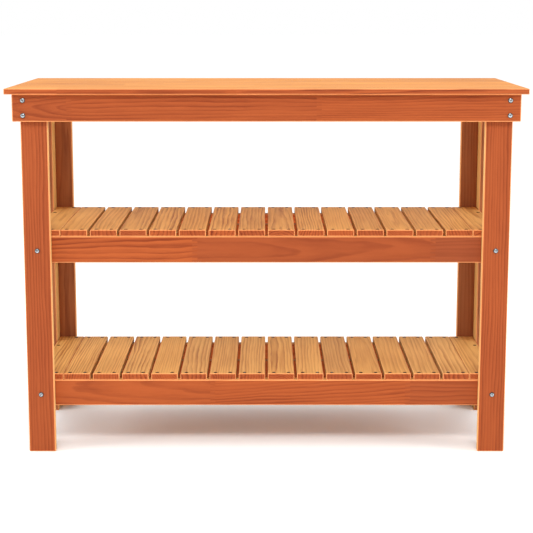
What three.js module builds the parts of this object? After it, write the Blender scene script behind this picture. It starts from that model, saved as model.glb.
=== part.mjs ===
// Potting bench: an open softwood table with two slatted shelves, in millimetres.
// +X runs along the bench, +Y from its front to its back and +Z up. The origin lies on the
// floor under the middle of the bench. Every board is one piece with chamfered edges, and
// boards that touch are modelled with a small fitting gap between them.

import * as THREE from "three";

// Overall size
const LENGTH = 1100;
const DEPTH = 400;
const HEIGHT = 800;

// Boards
const BOARD_WIDTH = 58; // the face width of every apron, rail, leg and slat
const TOP_THICKNESS = 12;
const APRON_THICKNESS = 14;
const LEG_FACE_THICKNESS = 14;
const LEG_SIDE_THICKNESS = 18;
const RAIL_THICKNESS = 18;
const SLAT_THICKNESS = 14;
const CLEAT_THICKNESS = 18; // the square cleats that tie the top to its aprons

// Layout
const OVERHANG = 13.5; // the top past its aprons, on all four sides
const LOWER_RAIL_BOTTOM = 101;
const UPPER_RAIL_BOTTOM = 421;
const SLATS_PER_SHELF = 16;
const CLOSE_GAP = 0.5; // beside the two outer slats at each end of a shelf
const FIT = 0.3; // left between boards that touch
const CHAMFER = 2.5; // along the edges of the structural boards and slats
const TOP_CHAMFER = 1.5; // along the edges of the top

// Derived levels and faces
const TOP_UNDERSIDE = HEIGHT - TOP_THICKNESS;
const FRAME_TOP = TOP_UNDERSIDE - FIT;
const APRON_END_X = LENGTH / 2 - OVERHANG;
const APRON_FACE_Y = DEPTH / 2 - OVERHANG;
const LEG_OUTER_X = APRON_END_X - APRON_THICKNESS - FIT;
const LEG_OUTER_Y = APRON_FACE_Y - APRON_THICKNESS - FIT;
const LEG_SIDE_INNER_X = LEG_OUTER_X - LEG_SIDE_THICKNESS;
const LEG_FACE_INNER_Y = LEG_OUTER_Y - LEG_FACE_THICKNESS;

const WOOD = { roughness: 0.55, metalness: 0 };
const TOP_COLOUR = 0xf0a868;
const FACE_COLOUR = 0xc8683e;
const SLAT_COLOUR = 0xd9985c;

// One chamfered board of the given [x, y, z] size, about its middle. Each corner of the box is split into
// three points, one on each face, so all its edges and corners are cut at 45 degrees.
function boardGeometry(size, chamfer) {
  const half = size.map((s) => s / 2);
  const signs = [-1, 1];
  const points = [];
  const index = new Map();
  for (const sx of signs) {
    for (const sy of signs) {
      for (const sz of signs) {
        const sign = [sx, sy, sz];
        for (let face = 0; face < 3; face++) {
          index.set([sx, sy, sz, face].join(), points.length);
          points.push(half.map((h, axis) => sign[axis] * (h - (axis === face ? 0 : chamfer))));
        }
      }
    }
  }

  const triangles = [];
  // Adds a convex polygon as a fan, turned so that it faces away from the board's middle.
  function addPolygon(corners) {
    const [a, b, c] = corners.map((i) => new THREE.Vector3(...points[i]));
    const normal = b.clone().sub(a).cross(c.clone().sub(a));
    const loop = normal.dot(a) > 0 ? corners : [...corners].reverse();
    for (let k = 1; k + 1 < loop.length; k++) triangles.push(loop[0], loop[k], loop[k + 1]);
  }
  function corner(sign, face) {
    return index.get([...sign, face].join());
  }
  for (let axis = 0; axis < 3; axis++) {
    const [u, v] = [(axis + 1) % 3, (axis + 2) % 3];
    for (const s of signs) {
      // The flat face across this axis
      const loop = [[-1, -1], [1, -1], [1, 1], [-1, 1]].map(([su, sv]) => {
        const sign = [0, 0, 0];
        sign[axis] = s;
        sign[u] = su;
        sign[v] = sv;
        return corner(sign, axis);
      });
      addPolygon(loop);
      for (const t of signs) {
        // The chamfer along this axis, between the faces across u and v
        const ends = [-1, 1].map((w) => {
          const sign = [0, 0, 0];
          sign[axis] = w;
          sign[u] = s;
          sign[v] = t;
          return sign;
        });
        addPolygon([corner(ends[0], u), corner(ends[1], u), corner(ends[1], v), corner(ends[0], v)]);
      }
    }
  }
  for (const sx of signs) {
    for (const sy of signs) {
      for (const sz of signs) {
        addPolygon([0, 1, 2].map((face) => corner([sx, sy, sz], face)));
      }
    }
  }

  const geometry = new THREE.BufferGeometry();
  geometry.setAttribute("position", new THREE.Float32BufferAttribute(points.flat(), 3));
  geometry.setIndex(triangles);
  geometry.computeVertexNormals();
  return geometry;
}

// The lower and the higher of two places along an axis, in that order.
function span(a, b) {
  return [Math.min(a, b), Math.max(a, b)];
}

const bench = new THREE.Group();

// Adds a board that fills the box from low to high, both [x, y, z].
function addBoard(name, low, high, colour, chamfer = CHAMFER) {
  const size = high.map((h, axis) => h - low[axis]);
  const material = new THREE.MeshStandardMaterial({ color: colour, ...WOOD });
  const board = new THREE.Mesh(boardGeometry(size, chamfer), material);
  board.name = name;
  board.position.set(...low.map((l, axis) => (l + high[axis]) / 2));
  bench.add(board);
}

// The top lies on the legs and aprons. Two square cleats in the corner under it, between the
// leg faces, hold it to the front and back aprons from below.
function addTop() {
  addBoard(
    "tabletop",
    [-LENGTH / 2, -DEPTH / 2, TOP_UNDERSIDE],
    [LENGTH / 2, DEPTH / 2, HEIGHT],
    TOP_COLOUR,
    TOP_CHAMFER,
  );
  const endX = LEG_OUTER_X - BOARD_WIDTH - FIT;
  for (const [name, side] of [["front", -1], ["back", 1]]) {
    const faces = span(side * LEG_OUTER_Y, side * (LEG_OUTER_Y - CLEAT_THICKNESS));
    addBoard(
      `${name}_top_cleat`,
      [-endX, faces[0], FRAME_TOP - CLEAT_THICKNESS],
      [endX, faces[1], FRAME_TOP],
      FACE_COLOUR,
    );
  }
}

// The front and back aprons cover the ends of the side aprons.
function addAprons() {
  const bottom = FRAME_TOP - BOARD_WIDTH;
  for (const [name, side] of [["front", -1], ["back", 1]]) {
    const faces = span(side * APRON_FACE_Y, side * (APRON_FACE_Y - APRON_THICKNESS));
    addBoard(
      `${name}_apron`,
      [-APRON_END_X, faces[0], bottom],
      [APRON_END_X, faces[1], FRAME_TOP],
      FACE_COLOUR,
    );
  }
  const sideEndY = APRON_FACE_Y - APRON_THICKNESS - FIT;
  for (const [name, side] of [["left", -1], ["right", 1]]) {
    const faces = span(side * APRON_END_X, side * (APRON_END_X - APRON_THICKNESS));
    addBoard(
      `${name}_apron`,
      [faces[0], -sideEndY, bottom],
      [faces[1], sideEndY, FRAME_TOP],
      FACE_COLOUR,
    );
  }
}

// Each leg is an angle of two boards: a face board across the front or back of the bench,
// and a narrower side board behind it, which makes the leg's side as wide as its face.
function addLegs() {
  for (const [xName, xSide] of [["left", -1], ["right", 1]]) {
    for (const [yName, ySide] of [["front", -1], ["back", 1]]) {
      const leg = `${yName}_${xName}_leg`;
      const faceX = span(xSide * LEG_OUTER_X, xSide * (LEG_OUTER_X - BOARD_WIDTH));
      const faceY = span(ySide * LEG_OUTER_Y, ySide * LEG_FACE_INNER_Y);
      addBoard(`${leg}_face`, [faceX[0], faceY[0], 0], [faceX[1], faceY[1], FRAME_TOP], FACE_COLOUR);

      const sideX = span(xSide * LEG_OUTER_X, xSide * LEG_SIDE_INNER_X);
      const sideY = span(ySide * (LEG_FACE_INNER_Y - FIT), ySide * (LEG_OUTER_Y - BOARD_WIDTH));
      addBoard(`${leg}_side`, [sideX[0], sideY[0], 0], [sideX[1], sideY[1], FRAME_TOP], FACE_COLOUR);
    }
  }
}

// The rails of one shelf are a frame inside the legs: the front and back rails lie against
// the leg faces and cover the ends of the two end rails, which lie against the leg sides. A
// middle rail runs between the end rails.
function addRails(shelf, bottom) {
  const top = bottom + BOARD_WIDTH;
  const longEndX = LEG_SIDE_INNER_X - FIT;
  const outerY = LEG_FACE_INNER_Y - FIT;
  const endRailX = longEndX - RAIL_THICKNESS;
  const rows = [
    ["front", longEndX, -outerY, -outerY + RAIL_THICKNESS],
    ["middle", endRailX - FIT, -RAIL_THICKNESS / 2, RAIL_THICKNESS / 2],
    ["back", longEndX, outerY - RAIL_THICKNESS, outerY],
  ];
  for (const [name, endX, low, high] of rows) {
    addBoard(`${shelf}_${name}_rail`, [-endX, low, bottom], [endX, high, top], FACE_COLOUR);
  }
  const endY = outerY - RAIL_THICKNESS - FIT;
  for (const [name, side] of [["left", -1], ["right", 1]]) {
    const faces = span(side * longEndX, side * endRailX);
    addBoard(`${shelf}_${name}_rail`, [faces[0], -endY, bottom], [faces[1], endY, top], FACE_COLOUR);
  }
}

// The slats of one shelf run front to back on its rails. The two outer ones at each end lie
// close together, and even wide gaps part the others.
function addSlats(shelf, railBottom) {
  const bottom = railBottom + BOARD_WIDTH + FIT;
  const endY = LEG_FACE_INNER_Y - FIT;
  const inside = 2 * (LEG_SIDE_INNER_X - CLOSE_GAP);
  const wideGaps = SLATS_PER_SHELF - 3;
  const wideGap = (inside - SLATS_PER_SHELF * BOARD_WIDTH - 2 * CLOSE_GAP) / wideGaps;
  let low = -inside / 2;
  for (let k = 1; k <= SLATS_PER_SHELF; k++) {
    const name = `${shelf}_slat_${String(k).padStart(2, "0")}`;
    addBoard(
      name,
      [low, -endY, bottom],
      [low + BOARD_WIDTH, endY, bottom + SLAT_THICKNESS],
      SLAT_COLOUR,
    );
    const outer = k === 1 || k === SLATS_PER_SHELF - 1;
    low += BOARD_WIDTH + (outer ? CLOSE_GAP : wideGap);
  }
}

addTop();
addAprons();
addLegs();
for (const [shelf, railBottom] of [["lower", LOWER_RAIL_BOTTOM], ["upper", UPPER_RAIL_BOTTOM]]) {
  addRails(shelf, railBottom);
  addSlats(shelf, railBottom);
}

export default bench;
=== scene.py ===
import math
import random

import bmesh
import bpy
from mathutils import Matrix, Vector, noise


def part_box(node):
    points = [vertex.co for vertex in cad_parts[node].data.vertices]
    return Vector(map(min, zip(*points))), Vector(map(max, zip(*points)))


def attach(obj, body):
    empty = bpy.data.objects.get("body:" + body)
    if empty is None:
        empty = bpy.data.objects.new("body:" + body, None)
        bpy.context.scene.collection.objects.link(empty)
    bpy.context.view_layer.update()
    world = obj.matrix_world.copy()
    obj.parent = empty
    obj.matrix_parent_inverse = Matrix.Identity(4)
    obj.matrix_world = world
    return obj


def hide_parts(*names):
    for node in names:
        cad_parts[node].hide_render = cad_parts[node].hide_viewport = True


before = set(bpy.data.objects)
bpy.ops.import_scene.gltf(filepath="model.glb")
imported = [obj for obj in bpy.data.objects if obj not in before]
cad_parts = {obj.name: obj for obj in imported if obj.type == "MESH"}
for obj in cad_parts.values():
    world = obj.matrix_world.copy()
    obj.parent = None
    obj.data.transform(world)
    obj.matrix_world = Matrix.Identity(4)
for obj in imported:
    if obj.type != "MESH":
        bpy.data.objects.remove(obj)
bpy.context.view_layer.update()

MM = 0.001
X, Y, Z = 0, 1, 2

# The camera stands in front of the bench and looks a little down on it
CAMERA_PLACE = (0.0, -2.838, 0.971)
CAMERA_TILT = math.radians(8.5)
CAMERA_LENS = 85.2
CAMERA_SHIFT = -0.135

# Studio
FLOOR_REACH = 40.0
HORIZON_LIGHT = 0.5
OVERHEAD_LIGHT = 1.4

# Boards
EDGE_RADIUS = 2.3 * MM
SLAT_EDGE_RADIUS = 1.8 * MM
TOP_EDGE_RADIUS = 1.6 * MM
EDGE_STEPS = 5  # round the quarter circle of an edge
SECTION_STEP = 12 * MM  # between cross sections along a board
EDGE_WEAR = 0.3 * MM
WEAR_SCALE = (45, 9)  # how often wear comes and goes along a board and across it
SAME_POINT = 1e-7  # points closer than this are one
STAVES = 7  # glued side by side into the top
FINGER_WIDTH = 4.5 * MM
FINGER_LENGTH = 11 * MM
NARROW_FACE = 0.6  # how much of its normal a board's narrow face has across the board

# Wood
TONE_RANGE = 0.1  # how much darker or lighter than the mean a length of wood may be
MEAN_DARKNESS = 0.27  # of 1, which is a stain's dark colour
END_REDNESS = 0.85  # of the faces at the bench's ends, where 1 is that of its front
BROAD_BENDS = 3.4  # how far bends push the growth rings aside, in years
SMALL_BENDS = 0.9
YEAR_STEP = 7.31  # from one year's place in the noise to the next one's

# Faces that look out from the bench's middle, or in towards it, take on their looks this
# fast with distance from the middle, along the bench and across it
ONSET_ALONG = 6.0
ONSET_ACROSS = 8.0

# Screws through the aprons and legs have pan heads, and their seat is at z = 0
PAN_RADIUS = 5.3 * MM
PAN_HEIGHT = 2.7 * MM
PAN_RIM = 0.25  # of the height, under the dome
PAN_BEVEL = 0.1 * MM
PAN_SHANK_RADIUS = 2.4 * MM
PAN_SHANK_LENGTH = 4 * MM
PAN_RECESS = (2.4 * MM, 1.7 * MM)  # reach and depth of the cross
PAN_STEPS = 8  # from the middle of the dome to its rim
APRON_SCREW_RISE = 16 * MM  # above and below the apron's middle

# Screws in the slats have countersunk oval heads, and their rim is at z = 0
OVAL_RADIUS = 4.1 * MM
OVAL_HEIGHT = 0.9 * MM
OVAL_DEPTH = 2.4 * MM
OVAL_RIM = 0.2 * MM
OVAL_SHANK_RADIUS = 1.7 * MM
OVAL_SHANK_LENGTH = 6 * MM
OVAL_RECESS = (2.1 * MM, 1.6 * MM)
OVAL_STEPS = 6
OVAL_SINK = 0.15 * MM  # the rim lies this far below the slat's face
SLAT_SCREW_SPREAD = 16.3 * MM  # from a slat's middle line, on both sides
SLAT_SCREW_INSET = 9 * MM  # from a slat's ends
OUTER_SCREW_OFFSET = 12 * MM  # on the outer slats: from the middle line, inwards
END_RAIL_SCREW_OFFSET = 20.5 * MM  # and outwards, for the end rail
END_RAIL_SCREW_INSET = 82 * MM

# The holes that the oval heads lie in
HOLE_RADIUS = 4.6 * MM
HOLE_DEPTH = 2.7 * MM
HOLE_OVERSHOOT = 0.5 * MM  # the cutter reaches this far above the slat's face
PILOT_RADIUS = 1.9 * MM
PILOT_DEPTH = 7 * MM

# The cross that a driver fits into
CROSS_ARM = 0.2  # half the width of an arm, as a share of its reach
CROSS_TAPER = (0.4, 0.7)  # how much of that reach and width is left at the bottom
CROSS_OVERSHOOT = 0.4 * MM

# Painted shade on a head starts at this share of its radius and is full after this further share
SHADE_START = 0.55
SHADE_SPREAD = 0.3
RECESS_MARGIN = 0.1 * MM  # a point this far under the dome is in the recess
HEAD_LEAN = 0.05  # the most that a screw leans
SHARP_ANGLE = math.radians(32)


# ---------------------------------------------------------------- how the boards were cut


def one_length(**log):
    """The figure of a board that is one length of wood."""
    return dict(given=(log,))


# Boards whose figure is settled. joints are the places along a board, from its middle, where
# another length of wood is finger-jointed on, and given is what each length's Log is told.
FIGURES = {
    "front_apron": dict(
        joints=(-0.416, 0.111),
        given=(
            dict(pith=(0.0, 0.0404), slope=(0.0, 0.126), growth=1.1, contrast=0.45, tone=0.02),
            dict(pith=(0.09, 0.02), growth=0.9, contrast=0.6, hue=0.2, tone=0.02),
            dict(pith=(0.07, 0.02), growth=1.3, contrast=0.5, hue=0.1, tone=-0.03),
        ),
    ),
    "upper_front_rail": dict(
        joints=(-0.155, 0.36),
        given=(
            dict(
                pith=(0.05, 0.01), slope=(0.03, 0.02), growth=0.7,
                contrast=0.75, hue=0.0, tone=-0.04,
            ),
            dict(
                pith=(0.0, -0.029), slope=(0.0, -0.065), growth=0.6,
                contrast=0.38, hue=0.5, tone=0.0,
            ),
            dict(contrast=0.3, hue=1.0, tone=0.0),
        ),
    ),
    "lower_front_rail": dict(
        joints=(-0.118, 0.31),
        given=(
            dict(pith=(0.02, -0.05), slope=(0.0, 0.04), growth=0.8, contrast=0.6, tone=-0.1),
            dict(slope=(0.06, 0.0), contrast=0.6, tone=-0.07),
            dict(contrast=0.5, tone=-0.05),
        ),
    ),
    "front_left_leg_face": one_length(growth=1.0, contrast=0.52),
    "front_right_leg_face": one_length(pith=(0.08, 0.0), growth=1.1, contrast=0.55),
    "lower_slat_03": one_length(contrast=0.7),
    "lower_slat_04": one_length(pith=(0.07, 0.01), growth=0.9, contrast=1.2, tone=0.0),
    "lower_slat_05": one_length(pith=(0.05, 0.03), contrast=0.5),
    "lower_slat_11": one_length(contrast=0.6),
    "lower_slat_13": one_length(contrast=0.5),
    "upper_slat_12": one_length(contrast=0.6),
}
# Boards at the back and in the middle, under the slats, stand in shade; their lighter tone, a
# negative one, is painted light that lifts that shade
for shelf in ("lower", "upper"):
    FIGURES[f"{shelf}_middle_rail"] = one_length(contrast=0.5, tone=-0.3)
    FIGURES[f"{shelf}_back_rail"] = one_length(contrast=0.7, tone=-0.2)
for end in ("left", "right"):
    FIGURES[f"back_{end}_leg_face"] = one_length(hue=0.0, tone=-0.15)
    FIGURES[f"back_{end}_leg_side"] = one_length(contrast=0.8, tone=-0.2)


class Log:
    """How one length of wood was cut from its log: where the pith ran, how fast the tree grew,
    and how dark, strongly marked and purple the wood is. Any of these may be given."""

    def __init__(self, seed, width, **given):
        dice = random.Random(seed)
        side = dice.choice((-1, 1))
        self.growth = dice.uniform(0.75, 1.3)
        if dice.random() < 0.7:
            # The pith beside the board: straight lines on its wide faces
            self.pith = (side * dice.uniform(0.8, 1.6) * width, dice.uniform(-0.35, 0.35) * width)
        else:
            # The pith above or below it: arches on its wide faces
            self.pith = (dice.uniform(-0.4, 0.4) * width, side * dice.uniform(0.6, 1.4) * width)
            self.growth *= 1.6
        self.slope = (dice.uniform(-0.012, 0.012), dice.uniform(-0.014, 0.014))
        self.start = dice.uniform(1, 40)
        self.tone = dice.uniform(-TONE_RANGE, TONE_RANGE)
        self.contrast = dice.uniform(0.5, 1.2)
        self.hue = dice.uniform(0, 0.5)
        for key, value in given.items():
            setattr(self, key, value)

    def place(self, x, y, z):
        """A point of the board as a place in the log, from its pith."""
        return (
            x + self.start,
            (y - self.pith[0] - self.slope[0] * x) * self.growth,
            (z - self.pith[1] - self.slope[1] * x) * self.growth,
        )


# ---------------------------------------------------------------- materials


def srgb(red, green, blue):
    """A colour given as 0 to 255 display values, as the linear numbers that a shader takes."""
    def linear(c):
        c /= 255
        return c / 12.92 if c <= 0.04045 else ((c + 0.055) / 1.055) ** 2.4
    return (linear(red), linear(green), linear(blue), 1.0)


# Stain colours, each (light, dark). RED is the stain on faces across the bench's depth. ORANGE and
# HONEY are painted light: the same stain painted lighter and yellower for tops and sides, as if lit
# from above and the sides
RED = (srgb(168, 82, 39), srgb(100, 30, 11))
ORANGE = (srgb(222, 166, 94), srgb(156, 92, 38))
HONEY = (srgb(232, 159, 85), srgb(164, 88, 34))
# For sanded edges: paler wood, and a painted highlight where rounded edges catch the light
PALE_WEAR_AND_HIGHLIGHT = (srgb(236, 158, 100), srgb(206, 124, 70))

# What a stain colour is multiplied by: on purplish wood; and, as painted light, on faces that look in
# along the bench, painted tan as if lit from the side, and on those that look in across it, which
# stand in shade and are painted browner, and on the rails paler
PURPLISH = (0.82, 0.86, 1.10, 1)
PAINTED_LIGHT_TAN = (1.22, 1.42, 1.6, 1)
PAINTED_SHADE_BROWN = (0.94, 1.5, 2.3, 1)
RAIL_SHADE_LIFT = (2.0, 2.3, 2.6, 1)


class Nodes:
    """Short names for making and linking shader nodes."""

    def __init__(self, name):
        self.material = bpy.data.materials.new(name)
        self.material.use_nodes = True
        self.tree = self.material.node_tree
        self.shader = self.tree.nodes["Principled BSDF"]

    def link(self, source, target):
        self.tree.links.new(source, target)

    def plug(self, socket, value):
        """Links the socket to value where that is a socket, and sets it to value elsewhere."""
        if isinstance(value, bpy.types.NodeSocket):
            self.link(value, socket)
        else:
            socket.default_value = value

    def feed(self, node, **inputs):
        for key, value in inputs.items():
            self.plug(node.inputs[key.replace("_", " ")], value)

    def attribute(self, name):
        node = self.tree.nodes.new("ShaderNodeAttribute")
        node.attribute_name = name
        return node

    def separate(self, vector):
        node = self.tree.nodes.new("ShaderNodeSeparateXYZ")
        self.link(vector, node.inputs[0])
        return node.outputs

    def math(self, operation, a, b=0.5, c=0.0, clamp=False):
        node = self.tree.nodes.new("ShaderNodeMath")
        node.operation = operation
        node.use_clamp = clamp
        for socket, value in zip(node.inputs, (a, b, c)):
            self.plug(socket, value)
        return node.outputs[0]

    def stretched(self, vector, scale):
        node = self.tree.nodes.new("ShaderNodeVectorMath")
        node.operation = "MULTIPLY"
        self.link(vector, node.inputs[0])
        node.inputs[1].default_value = scale
        return node.outputs[0]

    def noise(self, vector, scale=1.0, detail=2.0, roughness=0.5):
        node = self.tree.nodes.new("ShaderNodeTexNoise")
        self.feed(node, Vector=vector, Scale=scale, Detail=detail, Roughness=roughness)
        return node.outputs["Fac"]

    def ramp(self, factor, stops):
        """A smooth grey ramp through stops of (position, value)."""
        node = self.tree.nodes.new("ShaderNodeValToRGB")
        node.color_ramp.interpolation = "EASE"
        elements = node.color_ramp.elements
        while len(elements) < len(stops):
            elements.new(0.5)
        for element, (position, value) in zip(elements, stops):
            element.position = position
            element.color = (value, value, value, 1)
        self.link(factor, node.inputs[0])
        return node.outputs[0]

    def mix(self, factor, a, b, blend="MIX"):
        node = self.tree.nodes.new("ShaderNodeMix")
        node.data_type = "RGBA"
        node.blend_type = blend
        # The colour sockets of this node are its inputs 6 and 7
        for index, value in ((0, factor), (6, a), (7, b)):
            self.plug(node.inputs[index], value)
        return node.outputs[2]

    def bump(self, strength, distance, height):
        node = self.tree.nodes.new("ShaderNodeBump")
        self.feed(node, Strength=strength, Distance=distance, Height=height)
        self.feed(self.shader, Normal=node.outputs["Normal"])


def growth_rings(n, grain, spacing):
    """How dark each point is by its place in its year: pale earlywood that darkens slowly to
    latewood and then stops at once."""
    across = n.tree.nodes.new("ShaderNodeVectorMath")
    across.operation = "LENGTH"
    n.link(n.stretched(grain, (0, 1, 1)), across.inputs[0])
    wander = n.noise(n.stretched(grain, (1.8, 14, 14)))
    ripple = n.noise(n.stretched(grain, (10, 60, 60)))
    years = n.math("DIVIDE", across.outputs["Value"], spacing)
    years = n.math("ADD", years, n.math("MULTIPLY", wander, BROAD_BENDS))
    years = n.math("ADD", years, n.math("MULTIPLY", ripple, SMALL_BENDS))
    stops = [(0.0, 0.0), (0.2, 0.05), (0.6, 0.5), (0.8, 1.0), (0.9, 0.8), (1.0, 0.0)]
    late = n.ramp(n.math("FRACT", years), stops)

    # Some years are stronger than others, and each fades here and there
    good_year = n.noise(n.math("MULTIPLY", n.math("FLOOR", years), YEAR_STEP), detail=0.0)
    late = n.math("MULTIPLY", late, n.math("MULTIPLY_ADD", good_year, 1.6, 0.1))
    fading = n.noise(n.stretched(grain, (7, 35, 35)))
    late = n.math("MULTIPLY", late, n.math("MULTIPLY_ADD", fading, 2.4, -0.15))
    return n.math("MINIMUM", late, 1.1)


def stain(n, dark, hue, side, inner):
    """The colour of wood that is this dark, painted by the way each face looks, as painted light.
    Faces across the bench's depth are red, and so, nearly, are those that look out at its ends. All
    others, tops among them, have the side colours, painted lighter as if lit. Faces that look in
    along the bench are painted tan, as painted light, and those that look in across it, which stand
    in shade, are multiplied by inner, a painted tint and lift of that shade."""
    place = n.tree.nodes.new("ShaderNodeTexCoord")
    normal = n.separate(place.outputs["Normal"])
    point = n.separate(place.outputs["Object"])
    # Above zero on faces that look away from the bench's middle, along it and across it
    out_along = n.math("MULTIPLY", normal["X"], point["X"])
    out_across = n.math("MULTIPLY", normal["Y"], point["Y"])

    outer_end = n.math("MULTIPLY", out_along, ONSET_ALONG, clamp=True)
    across_depth = n.ramp(n.math("ABSOLUTE", normal["Y"]), [(0.45, 0.0), (0.9, 1.0)])
    red = n.math("MAXIMUM", across_depth, n.math("MULTIPLY", outer_end, END_REDNESS))
    # Painted light: tops and sides take the side colours, lighter than the red of faces across the
    # depth
    colour = n.mix(red, n.mix(dark, *side), n.mix(dark, *RED))
    colour = n.mix(hue, colour, PURPLISH, blend="MULTIPLY")
    # Painted shade and light: faces that look in across the bench get a painted tint of their shade,
    # and those that look in along it are painted tan
    looks_in_across = n.math("MULTIPLY", out_across, -ONSET_ACROSS, clamp=True)
    colour = n.mix(looks_in_across, colour, inner, blend="MULTIPLY")
    looks_in_along = n.math("MULTIPLY", out_along, -ONSET_ALONG, clamp=True)
    return n.mix(looks_in_along, colour, PAINTED_LIGHT_TAN, blend="MULTIPLY")


def wood(name, side, spacing, contrast, rings, streaks, inner=PAINTED_SHADE_BROWN):
    """Stained pine. The grain attribute holds each point's place in the log that its board was cut
    from: x along the trunk, y and z from its pith. The log attribute holds that length's own
    darkness, contrast and hue. spacing is the width of a year, rings and streaks how dark latewood
    and long streaks are, and side and inner what stain takes: side holds the colours painted lighter
    for tops and sides, as painted light, and inner the painted tint of inward faces that stand in
    shade."""
    n = Nodes(name)
    grain = n.attribute("grain").outputs["Vector"]
    tone, strength, hue = n.separate(n.attribute("log").outputs["Vector"])

    # Rings, and fibres, streaks and broad clouds that are all drawn out along the grain
    late = growth_rings(n, grain, spacing)
    fibre = n.noise(n.stretched(grain, (14, 1500, 1500)), detail=3.0, roughness=0.6)
    streak = n.noise(n.stretched(grain, (4, 260, 260)), detail=3.0)
    mottle = n.noise(n.stretched(grain, (12, 90, 90)), detail=3.0)
    cloud = n.noise(n.stretched(grain, (3, 14, 14)), detail=3.0)
    pattern = n.math("MULTIPLY_ADD", late, rings, -0.3 * rings)
    for part, weight in ((fibre, 0.36), (streak, streaks), (mottle, 0.45), (cloud, 0.55)):
        pattern = n.math("ADD", pattern, n.math("MULTIPLY_ADD", part, weight, -weight / 2))
    strength = n.math("MULTIPLY", strength, contrast)
    dark = n.math("ADD", n.math("MULTIPLY", pattern, strength), MEAN_DARKNESS)
    dark = n.math("ADD", dark, tone, clamp=True)

    # Sanded edges show paler wood, unevenly; the pale colour is also a painted highlight, where the
    # rounded edges catch the light
    edge_wear_and_highlight = n.attribute("edge").outputs["Fac"]
    rub_and_highlight = n.math("MULTIPLY", edge_wear_and_highlight, n.math("MULTIPLY_ADD", streak, 0.6, 0.75), clamp=True)
    colour = n.mix(rub_and_highlight, stain(n, dark, hue, side, inner), n.mix(dark, *PALE_WEAR_AND_HIGHLIGHT))
    n.feed(n.shader, Base_Color=colour)

    # Dark wood is a little smoother, and latewood and fibres stand up from the rest
    sheen = n.math("MULTIPLY_ADD", dark, -0.14, 0.62)
    n.feed(n.shader, Roughness=n.math("MULTIPLY_ADD", mottle, 0.12, sheen))
    n.shader.inputs["Specular IOR Level"].default_value = 0.12
    height = n.math("ADD", n.math("MULTIPLY", late, 0.6), n.math("MULTIPLY", fibre, 0.8))
    n.bump(0.35, 0.25 * MM, height)
    return n.material


def zinc(name, bright, dull_and_shade, grazing):
    """Zinc plating, dulled in patches, and painted dark as shade round each head's rim and in its
    recess, where its attribute says so. grazing is its tint at the edge of a dome."""
    n = Nodes(name)
    place = n.tree.nodes.new("ShaderNodeTexCoord").outputs["Object"]
    patch = n.noise(place, scale=420.0, detail=4.0)
    fine = n.noise(place, scale=2600.0)
    painted_shade = n.attribute("painted_shade").outputs["Fac"]
    # Painted shade: each head's rim and recess are darkened towards the dull colour, as are tarnished
    # patches
    tarnish_and_shade = n.math("MAXIMUM", n.ramp(patch, [(0.35, 0.0), (0.75, 1.0)]), painted_shade)
    n.feed(n.shader, Base_Color=n.mix(tarnish_and_shade, bright, dull_and_shade))
    n.feed(n.shader, Roughness=n.math("MULTIPLY_ADD", patch, 0.25, 0.12))
    n.shader.inputs["Metallic"].default_value = 1.0
    n.shader.inputs["Specular Tint"].default_value = grazing
    n.bump(0.2, 0.05 * MM, fine)
    return n.material


# ---------------------------------------------------------------- meshes


def join_rings(bm, rings):
    """Faces from each ring of points to the next. Neighbours in a ring may be one point."""
    for ring, following in zip(rings, rings[1:]):
        for k in range(len(ring)):
            beside = (k + 1) % len(ring)
            corners = [ring[k], ring[beside], following[beside], following[k]]
            unique = list(dict.fromkeys(corners))
            if len(unique) > 2:
                bm.faces.new(unique)


def to_mesh(bm, name):
    mesh = bpy.data.meshes.new(name)
    bm.to_mesh(mesh)
    bm.free()
    return mesh


def add_object(name, mesh):
    item = bpy.data.objects.new(name, mesh)
    bpy.context.scene.collection.objects.link(item)
    return item


def without(mesh, cutter):
    """The mesh with the cutter mesh taken away."""
    solid = add_object("solid", mesh)
    tool = add_object("tool", cutter)
    cut = solid.modifiers.new("cut", "BOOLEAN")
    cut.operation = "DIFFERENCE"
    cut.solver = "EXACT"
    cut.object = tool
    evaluated = solid.evaluated_get(bpy.context.evaluated_depsgraph_get())
    result = bpy.data.meshes.new_from_object(evaluated)
    for item in (solid, tool):
        bpy.data.objects.remove(item)
    return result


# ---------------------------------------------------------------- boards


def edge_share(step):
    """How much a step round an edge belongs to the edge: 1 in its middle, 0 at both faces."""
    return math.sin(math.pi * step / EDGE_STEPS) ** 0.5


def round_outline(width, thick, radius, lines):
    """A board's cross section, as (y, z, out_y, out_z, edge) for each point. The point lies
    radius times out from (y, z). lines are the y of extra points on both wide faces."""
    points = []
    half_y, half_z = width / 2 - radius, thick / 2 - radius
    for corner in range(4):
        sy = 1 if corner in (0, 3) else -1
        sz = 1 if corner in (0, 1) else -1
        for k in range(EDGE_STEPS + 1):
            angle = math.radians(90 * (corner + k / EDGE_STEPS))
            out = (math.cos(angle), math.sin(angle))
            points.append((sy * half_y, sz * half_z, *out, edge_share(k)))
        if corner in (0, 2):
            order = sorted(lines, reverse=corner == 0)
            points += [(y, sz * half_z, 0.0, float(sz), 0.0) for y in order]
    return points


def section_places(length, radius, cuts):
    """Where a board's cross sections stand along it, as (x, share of the edge radius, edge).
    One stands at each of cuts."""
    inner = length / 2 - radius
    steps = max(2, round(2 * inner / SECTION_STEP))
    places = {round(-inner + 2 * inner * k / steps, 6) for k in range(1, steps)}
    for cut in cuts:
        places = {p for p in places if abs(p - cut) > SECTION_STEP / 4}
        places.add(cut)
    ends = []
    for k in range(EDGE_STEPS + 1):
        angle = math.radians(90 * k / EDGE_STEPS)
        share = math.cos(angle) if k < EDGE_STEPS else 0.0
        ends.append((inner + radius * math.sin(angle), share, edge_share(k)))
    start = [(-x, share, edge) for x, share, edge in reversed(ends)]
    return start + [(p, 1.0, 0.0) for p in sorted(places)] + ends


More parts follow.
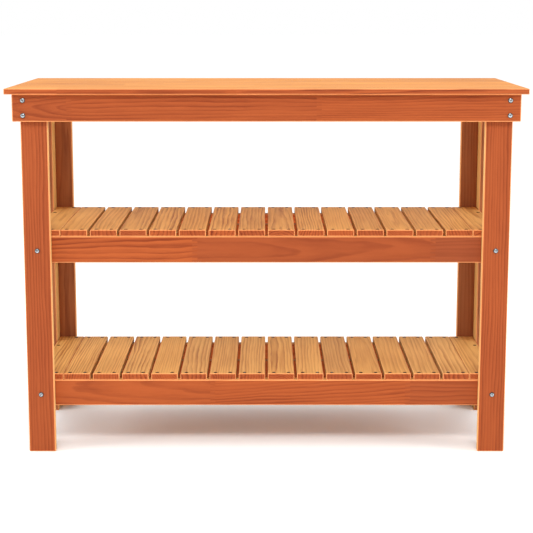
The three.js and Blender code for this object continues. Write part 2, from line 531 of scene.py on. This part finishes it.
def board_sections(bm, name, outline, places, radius, side_wear_and_highlight):
    """The points of a board's cross sections, with their edge attribute, which paints the edges pale
    for wear and as a painted highlight. Its long edges are ground down a little here and there."""
    edge_layer = bm.verts.layers.float.new("edge")
    offset = Vector((random.Random(name).uniform(0, 50), 0, 0))
    along, across = WEAR_SCALE
    sections = []
    for x, share, end_edge in places:
        section, last = [], None
        for y, z, out_y, out_z, edge in outline:
            reach = radius * share
            if share == 1.0:
                bite = noise.noise(Vector((x * along, y * across, z * across)) + offset)
                reach -= EDGE_WEAR * max(0.0, bite) * edge
            place = Vector((x, y + out_y * reach, z + out_z * reach))
            if last is None or (place - last.co).length >= SAME_POINT:
                last = bm.verts.new(place)
                side_edge = edge * side_wear_and_highlight if share > 0 else 0.0
                last[edge_layer] = max(side_edge, end_edge)
            section.append(last)
        sections.append(section)
    return sections


def finger_lines(width):
    """The places across a board where one finger of its joints ends and the next begins."""
    count = math.floor((width / 2 - EDGE_RADIUS) / FINGER_WIDTH)
    return [k * FINGER_WIDTH for k in range(-count, count + 1)]


def mark_logs(bm, name, width, stave_cuts, stave_joints, fingered, given, darker):
    """Gives every face's corners their places in the log that this part of the board was cut from,
    and that log's tone, contrast and hue. The narrow faces are painted darker by so much, as painted
    shade."""
    grain_layer = bm.loops.layers.float_vector.new("grain")
    log_layer = bm.loops.layers.float_vector.new("log")
    stave_width = width / (len(stave_cuts) + 1)
    logs = {}
    for face in bm.faces:
        middle = face.calc_center_median()
        stave = sum(middle.y > cut for cut in stave_cuts)
        reach = 0.0
        if fingered:
            reach = (math.floor(middle.y / FINGER_WIDTH) % 2 - 0.5) * FINGER_LENGTH
        part = sum(middle.x > joint + reach for joint in stave_joints[stave])
        if (stave, part) not in logs:
            settled = given[part] if part < len(given) else {}
            logs[stave, part] = Log(f"{name}/{stave}/{part}", stave_width, **settled)
        log = logs[stave, part]
        face.smooth = True
        tone = log.tone + (darker if abs(face.normal.y) > NARROW_FACE else 0.0)
        for loop in face.loops:
            loop[grain_layer] = log.place(*loop.vert.co)
            loop[log_layer] = (tone, log.contrast, log.hue)


def board_mesh(name, size, radius, joints=(), given=(), stave_cuts=(), sides=(1.0, 0.0)):
    """A rounded board of (length, width, thickness) about the origin, its edges slightly ground down,
    with its attributes. joints are places along it where another length of wood starts: a list for
    the whole board, which is then finger-jointed there, or one list for each stave between
    stave_cuts. given holds what is settled about each length's log. sides is how pale the long edges
    are painted, for wear and as a painted highlight, and how much darker the narrow faces are
    painted, as shade."""
    length, width, thick = size
    side_wear_and_highlight, darker = sides
    stave_joints = joints if stave_cuts else [joints]
    fingered = bool(joints) and not stave_cuts
    lines = finger_lines(width) if fingered else stave_cuts
    ways = (-0.5, 0.5) if fingered else (0,)
    cuts = {j + way * FINGER_LENGTH for js in stave_joints for j in js for way in ways}
    outline = round_outline(width, thick, radius, lines)
    places = section_places(length, radius, sorted(cuts))

    bm = bmesh.new()
    sections = board_sections(bm, name, outline, places, radius, side_wear_and_highlight)
    join_rings(bm, sections)
    for section in (sections[0], sections[-1]):
        bm.faces.new(list(dict.fromkeys(section)))
    bmesh.ops.recalc_face_normals(bm, faces=bm.faces)
    mark_logs(bm, name, width, stave_cuts, stave_joints, fingered, given, darker)
    return to_mesh(bm, name)


def cut_holes(board, places):
    """Cuts a countersunk hole into the board's top at each place."""
    cutter = [(0, HOLE_OVERSHOOT), (HOLE_RADIUS + HOLE_OVERSHOOT, HOLE_OVERSHOOT)]
    cutter += [(PILOT_RADIUS, -HOLE_DEPTH), (PILOT_RADIUS, -PILOT_DEPTH), (0, -PILOT_DEPTH)]
    template = lathe(cutter, steps=24)
    bm = bmesh.new()
    for place in places:
        start = len(bm.verts)
        bm.from_mesh(template)
        bm.verts.ensure_lookup_table()
        bmesh.ops.translate(bm, verts=bm.verts[start:], vec=place)
    material = board.data.materials[0]
    board.data = without(board.data, to_mesh(bm, "holes"))
    board.data.materials.clear()
    board.data.materials.append(material)


def add_board(node, along, material, slot, radius=EDGE_RADIUS, holes=(), **figure):
    """Replaces a CAD board by a detailed one in the same place. along is its grain's axis.
    holes are the places of countersunk holes in it."""
    figure = {**FIGURES.get(node, {}), **figure}
    low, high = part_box(node)
    # After its length comes the wider of its other two sides
    others = sorted((a for a in range(3) if a != along), key=lambda a: low[a] - high[a])
    order = (along, *others)
    size = [high[a] - low[a] for a in order]
    mesh = board_mesh(node + "_board", size, radius, **figure)
    turn = Matrix.Identity(4)
    for column, axis in enumerate(order):
        for row in range(3):
            turn[row][column] = 1.0 if row == axis else 0.0
    mesh.transform(Matrix.Translation((low + high) / 2) @ turn)
    if turn.determinant() < 0:
        mesh.flip_normals()
    mesh.materials.append(material)
    board = add_object(node + "_board", mesh)
    if holes:
        cut_holes(board, holes)
    steady = board.modifiers.new("flat_faces", "WEIGHTED_NORMAL")
    steady.keep_sharp = True
    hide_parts(node)
    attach(board, "root")


# ---------------------------------------------------------------- screws


def lathe(profile, steps):
    """A closed solid turned from (radius, z) points that start and end on the axis."""
    bm = bmesh.new()
    rings = []
    for radius, z in profile:
        if radius == 0:
            rings.append([bm.verts.new((0, 0, z))] * steps)
            continue
        ring = []
        for k in range(steps):
            angle = 2 * math.pi * k / steps
            ring.append(bm.verts.new((radius * math.cos(angle), radius * math.sin(angle), z)))
        rings.append(ring)
    join_rings(bm, rings)
    bmesh.ops.recalc_face_normals(bm, faces=bm.faces)
    return to_mesh(bm, "turned")


def cross_recess(top, reach, depth):
    """The tapered cross that a driver fits into, from just above top down to depth."""
    bm = bmesh.new()
    half = CROSS_ARM * reach
    low_reach, low_half = CROSS_TAPER
    levels = (
        (top + CROSS_OVERSHOOT, reach, half),
        (top - depth, low_reach * reach, low_half * half),
    )
    rings = []
    for z, out, across in levels:
        ring = []
        for quarter in range(4):
            turn = Matrix.Rotation(quarter * math.pi / 2, 3, "Z")
            corners = ((out, -across), (out, across), (across, across))
            ring += [bm.verts.new(turn @ Vector((x, y, z))) for x, y in corners]
        bm.faces.new(ring)
        rings.append(ring)
    join_rings(bm, rings)
    bmesh.ops.recalc_face_normals(bm, faces=bm.faces)
    return to_mesh(bm, "recess")


def mark_painted_shade(mesh, radius, dome):
    """Painted shade round a head's rim and in its recess, where the surface is lower than the dome,
    which is a function of the distance from the axis."""
    painted_shade = mesh.attributes.new("painted_shade", "FLOAT", "POINT")
    for vertex, value in zip(mesh.vertices, painted_shade.data):
        out = math.hypot(vertex.co.x, vertex.co.y)
        at_rim = min(1.0, max(0.0, out / radius - SHADE_START) / SHADE_SPREAD)
        value.value = 1.0 if vertex.co.z < dome(out) - RECESS_MARGIN else at_rim
    return mesh


def pan_height(out):
    """How high a pan head stands this far from its axis."""
    dome = math.sqrt(max(0.0, 1 - (out / PAN_RADIUS) ** 2))
    return PAN_HEIGHT * (PAN_RIM + (1 - PAN_RIM) * dome)


def oval_height(out):
    """How high an oval head stands this far from its axis."""
    return OVAL_HEIGHT * (1 - (out / OVAL_RADIUS) ** 2)


def pan_head():
    """A pan head with a stub of its shank."""
    angles = [math.radians(90 * k / PAN_STEPS) for k in range(PAN_STEPS + 1)]
    outs = [PAN_RADIUS * math.sin(angle) for angle in angles]
    profile = [(out, pan_height(out)) for out in outs]
    profile += [(PAN_RADIUS, PAN_BEVEL), (PAN_RADIUS - PAN_BEVEL, -PAN_BEVEL)]
    profile += [(PAN_SHANK_RADIUS, -PAN_BEVEL), (PAN_SHANK_RADIUS, -PAN_SHANK_LENGTH)]
    profile.append((0, -PAN_SHANK_LENGTH))
    head = without(lathe(profile, steps=40), cross_recess(PAN_HEIGHT, *PAN_RECESS))
    return mark_painted_shade(head, PAN_RADIUS, pan_height)


def oval_head():
    """A countersunk head with a low dome and a stub of its shank."""
    outs = [OVAL_RADIUS * k / OVAL_STEPS for k in range(OVAL_STEPS)]
    profile = [(out, oval_height(out)) for out in outs]
    profile += [(OVAL_RADIUS, 0), (OVAL_RADIUS, -OVAL_RIM), (OVAL_SHANK_RADIUS, -OVAL_DEPTH)]
    profile += [(OVAL_SHANK_RADIUS, -OVAL_SHANK_LENGTH), (0, -OVAL_SHANK_LENGTH)]
    head = without(lathe(profile, steps=28), cross_recess(OVAL_HEIGHT, *OVAL_RECESS))
    return mark_painted_shade(head, OVAL_RADIUS, oval_height)


def add_screws(name, head, places, material, sink=0.0):
    """One piece that holds a screw at each of places, which are (point, the way its head
    faces). Each is turned by its own angle, as a driver leaves it."""
    dice = random.Random(name)
    bm = bmesh.new()
    for place, facing in places:
        facing = Vector(facing)
        upright = facing.to_track_quat("Z", "Y").to_matrix().to_4x4()
        turn = Matrix.Rotation(dice.uniform(0, math.pi), 4, "Z")
        lean = Matrix.Rotation(dice.uniform(-HEAD_LEAN, HEAD_LEAN), 4, "X")
        start = len(bm.verts)
        bm.from_mesh(head)
        bm.verts.ensure_lookup_table()
        matrix = Matrix.Translation(Vector(place) - facing * sink) @ upright @ lean @ turn
        bmesh.ops.transform(bm, matrix=matrix, verts=bm.verts[start:])
    mesh = to_mesh(bm, name)
    mesh.materials.append(material)
    mesh.shade_smooth()
    mesh.set_sharp_from_angle(angle=SHARP_ANGLE)
    screws = add_object(name, mesh)
    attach(screws, "root")


# ---------------------------------------------------------------- the bench

FRAME_LOOK = dict(side=ORANGE, spacing=7.0 * MM, contrast=0.95, rings=0.7, streaks=0.7)
frame_wood = wood("frame_wood", **FRAME_LOOK)
rail_wood = wood("rail_wood", inner=RAIL_SHADE_LIFT, **FRAME_LOOK)
slat_wood = wood("slat_wood", ORANGE, 8.0 * MM, contrast=1.05, rings=0.6, streaks=0.9)
top_wood = wood("top_wood", HONEY, 5.5 * MM, contrast=0.95, rings=0.78, streaks=0.55)
bright_zinc = zinc("bright_zinc", (0.60, 0.65, 0.69, 1), (0.05, 0.045, 0.04, 1), (0.3, 0.3, 0.3, 1))
dark_zinc = zinc("dark_zinc", (0.20, 0.21, 0.24, 1), (0.07, 0.07, 0.08, 1), (0.2, 0.2, 0.22, 1))


def add_top():
    """A panel of glued staves, each of three lengths of wood that meet at places of its own."""
    low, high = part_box("tabletop")
    cuts = [(k / STAVES - 0.5) * (high.y - low.y) for k in range(1, STAVES)]
    dice = random.Random("staves")
    joints = []
    for _ in range(STAVES):
        first = dice.uniform(-0.45, -0.15)
        joints.append([first, first + dice.uniform(0.35, 0.5)])
    add_board(
        "tabletop", X, top_wood, "top_wood", TOP_EDGE_RADIUS, stave_cuts=cuts, joints=joints
    )


def add_aprons():
    """The aprons, and the cleats that tie the top to two of them."""
    for side in ("front", "back"):
        add_board(f"{side}_apron", X, frame_wood, "frame_wood")
    for end in ("left", "right"):
        add_board(f"{end}_apron", Y, frame_wood, "frame_wood")
    for side in ("front", "back"):
        add_board(f"{side}_top_cleat", X, frame_wood, "frame_wood")


def add_legs():
    for side in ("front", "back"):
        for end in ("left", "right"):
            for part in ("face", "side"):
                add_board(f"{side}_{end}_leg_{part}", Z, frame_wood, "frame_wood")


def add_rails(shelf):
    for rail in ("front", "middle", "back"):
        # The middle rail's narrow faces, its top and bottom, are painted darkest, as shade where the
        # slats cover it, and its long edges are not painted pale
        sides = (0.0, 1.0) if rail == "middle" else (1.0, 0.0)
        add_board(f"{shelf}_{rail}_rail", X, rail_wood, "frame_wood", sides=sides)
    for rail in ("left", "right"):
        add_board(f"{shelf}_{rail}_rail", Y, rail_wood, "frame_wood")


def slat_screw_places(slat, outer):
    """The places of a slat's four screws. The outer slats at both ends of a shelf are fixed
    to the end rail as well as to the front and back rails."""
    low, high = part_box(slat)
    middle = (low.x + high.x) / 2
    ends = (low.y + SLAT_SCREW_INSET, high.y - SLAT_SCREW_INSET)
    if not outer:
        spread = (-SLAT_SCREW_SPREAD, SLAT_SCREW_SPREAD)
        return [(middle + dx, y, high.z) for dx in spread for y in ends]
    out = math.copysign(1, middle)
    places = [(middle - out * OUTER_SCREW_OFFSET, y, high.z) for y in ends]
    for y in (low.y + END_RAIL_SCREW_INSET, high.y - END_RAIL_SCREW_INSET):
        places.append((middle + out * END_RAIL_SCREW_OFFSET, y, high.z))
    return places


def add_slats(shelf, head):
    slats = sorted(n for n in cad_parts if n.startswith(f"{shelf}_slat_"))
    all_places = []
    for slat in slats:
        places = slat_screw_places(slat, outer=slat in (slats[0], slats[-1]))
        # A slat's long edges are painted less pale than other boards', for wear and highlight alike,
        # and its narrow faces, which look into the gaps, are painted darker as shade
        add_board(
            slat, Y, slat_wood, "slat_wood", SLAT_EDGE_RADIUS, holes=places, sides=(0.3, 0.15)
        )
        all_places += [(place, (0, 0, 1)) for place in places]
    add_screws(f"{shelf}_slat_screws", head, all_places, dark_zinc, sink=OVAL_SINK)


def outermost(node, axis):
    """The side of a node that is further from the bench's middle along this axis."""
    return max((corner[axis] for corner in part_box(node)), key=abs)


def add_leg_screws(side, end, head):
    """The screws of one corner, through its aprons and its leg. The ends of the bench are
    fastened as its front is."""
    y_way = -1 if side == "front" else 1
    x_way = -1 if end == "left" else 1
    apron_low, apron_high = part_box(f"{side}_apron")
    apron_middle = (apron_low.z + apron_high.z) / 2
    apron_y = outermost(f"{side}_apron", Y)
    end_x = outermost(f"{end}_apron", X)
    leg = f"{side}_{end}_leg"
    side_low, side_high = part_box(f"{leg}_side")
    side_middle = (side_low + side_high) / 2
    places = []
    for z in (apron_middle - APRON_SCREW_RISE, apron_middle + APRON_SCREW_RISE):
        places.append(((side_middle.x, apron_y, z), (0, y_way, 0)))
        places.append(((end_x, side_middle.y, z), (x_way, 0, 0)))
    leg_low, leg_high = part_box(f"{leg}_face")
    leg_middle = (leg_low.x + leg_high.x) / 2
    for shelf in ("lower", "upper"):
        rail_low, rail_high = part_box(f"{shelf}_{side}_rail")
        rail_middle = (rail_low.z + rail_high.z) / 2
        places.append(((leg_middle, outermost(f"{leg}_face", Y), rail_middle), (0, y_way, 0)))
    add_screws(f"{leg}_screws", head, places, bright_zinc)


add_top()
add_aprons()
add_legs()
slat_screw = oval_head()
for shelf in ("lower", "upper"):
    add_rails(shelf)
    add_slats(shelf, slat_screw)
leg_screw = pan_head()
for side in ("front", "back"):
    for end in ("left", "right"):
        add_leg_screws(side, end, leg_screw)

# ---------------------------------------------------------------- stage, light and camera


def add_floor():
    corners = [(x * FLOOR_REACH, y * FLOOR_REACH, 0) for x, y in ((-1, -1), (1, -1), (1, 1), (-1, 1))]
    mesh = bpy.data.meshes.new("floor")
    mesh.from_pydata(corners, [], [(0, 1, 2, 3)])
    n = Nodes("pale_floor")
    n.feed(n.shader, Base_Color=(0.95, 0.95, 0.95, 1), Roughness=0.9)
    mesh.materials.append(n.material)
    floor = add_object("floor", mesh)


def add_light(name, place, target, size, power):
    data = bpy.data.lights.new(name, "AREA")
    data.shape = "RECTANGLE"
    data.size, data.size_y = size
    data.energy = power
    light = add_object(name, data)
    light.location = place
    light.rotation_mode = "QUATERNION"
    light.rotation_quaternion = (Vector(target) - Vector(place)).to_track_quat("-Z", "Y")


def add_world():
    """A white studio, brighter overhead than at the horizon, that shows as plain white."""
    world = bpy.data.worlds.new("studio")
    bpy.context.scene.world = world
    world.use_nodes = True
    tree = world.node_tree
    back = tree.nodes["Background"]
    back.inputs["Color"].default_value = (1, 1, 1, 1)
    way = tree.nodes.new("ShaderNodeSeparateXYZ")
    tree.links.new(tree.nodes.new("ShaderNodeTexCoord").outputs["Generated"], way.inputs[0])
    sky = tree.nodes.new("ShaderNodeMapRange")
    sky.inputs["To Min"].default_value = HORIZON_LIGHT
    sky.inputs["To Max"].default_value = OVERHEAD_LIGHT
    tree.links.new(way.outputs["Z"], sky.inputs["Value"])
    shown = tree.nodes.new("ShaderNodeMath")
    shown.operation = "MAXIMUM"
    seen = tree.nodes.new("ShaderNodeLightPath").outputs["Is Camera Ray"]
    tree.links.new(seen, shown.inputs[0])
    tree.links.new(sky.outputs[0], shown.inputs[1])
    tree.links.new(shown.outputs[0], back.inputs["Strength"])


def add_camera():
    data = bpy.data.cameras.new("camera")
    data.lens = CAMERA_LENS
    data.shift_y = CAMERA_SHIFT
    camera = add_object("camera", data)
    camera.location = CAMERA_PLACE
    camera.rotation_euler = (math.pi / 2 - CAMERA_TILT, 0, 0)
    bpy.context.scene.camera = camera


add_floor()
add_world()
add_light("high_front", place=(0, -3.1, 3.25), target=(0, 0, 0.45), size=(2.4, 0.8), power=82)
for name, x in (("left", -3.6), ("right", 3.6)):
    add_light(name, place=(x, -0.9, 1.2), target=(0, 0, 0.4), size=(1.6, 1.6), power=70)
add_camera()
bpy.context.scene.view_settings.view_transform = "Standard"
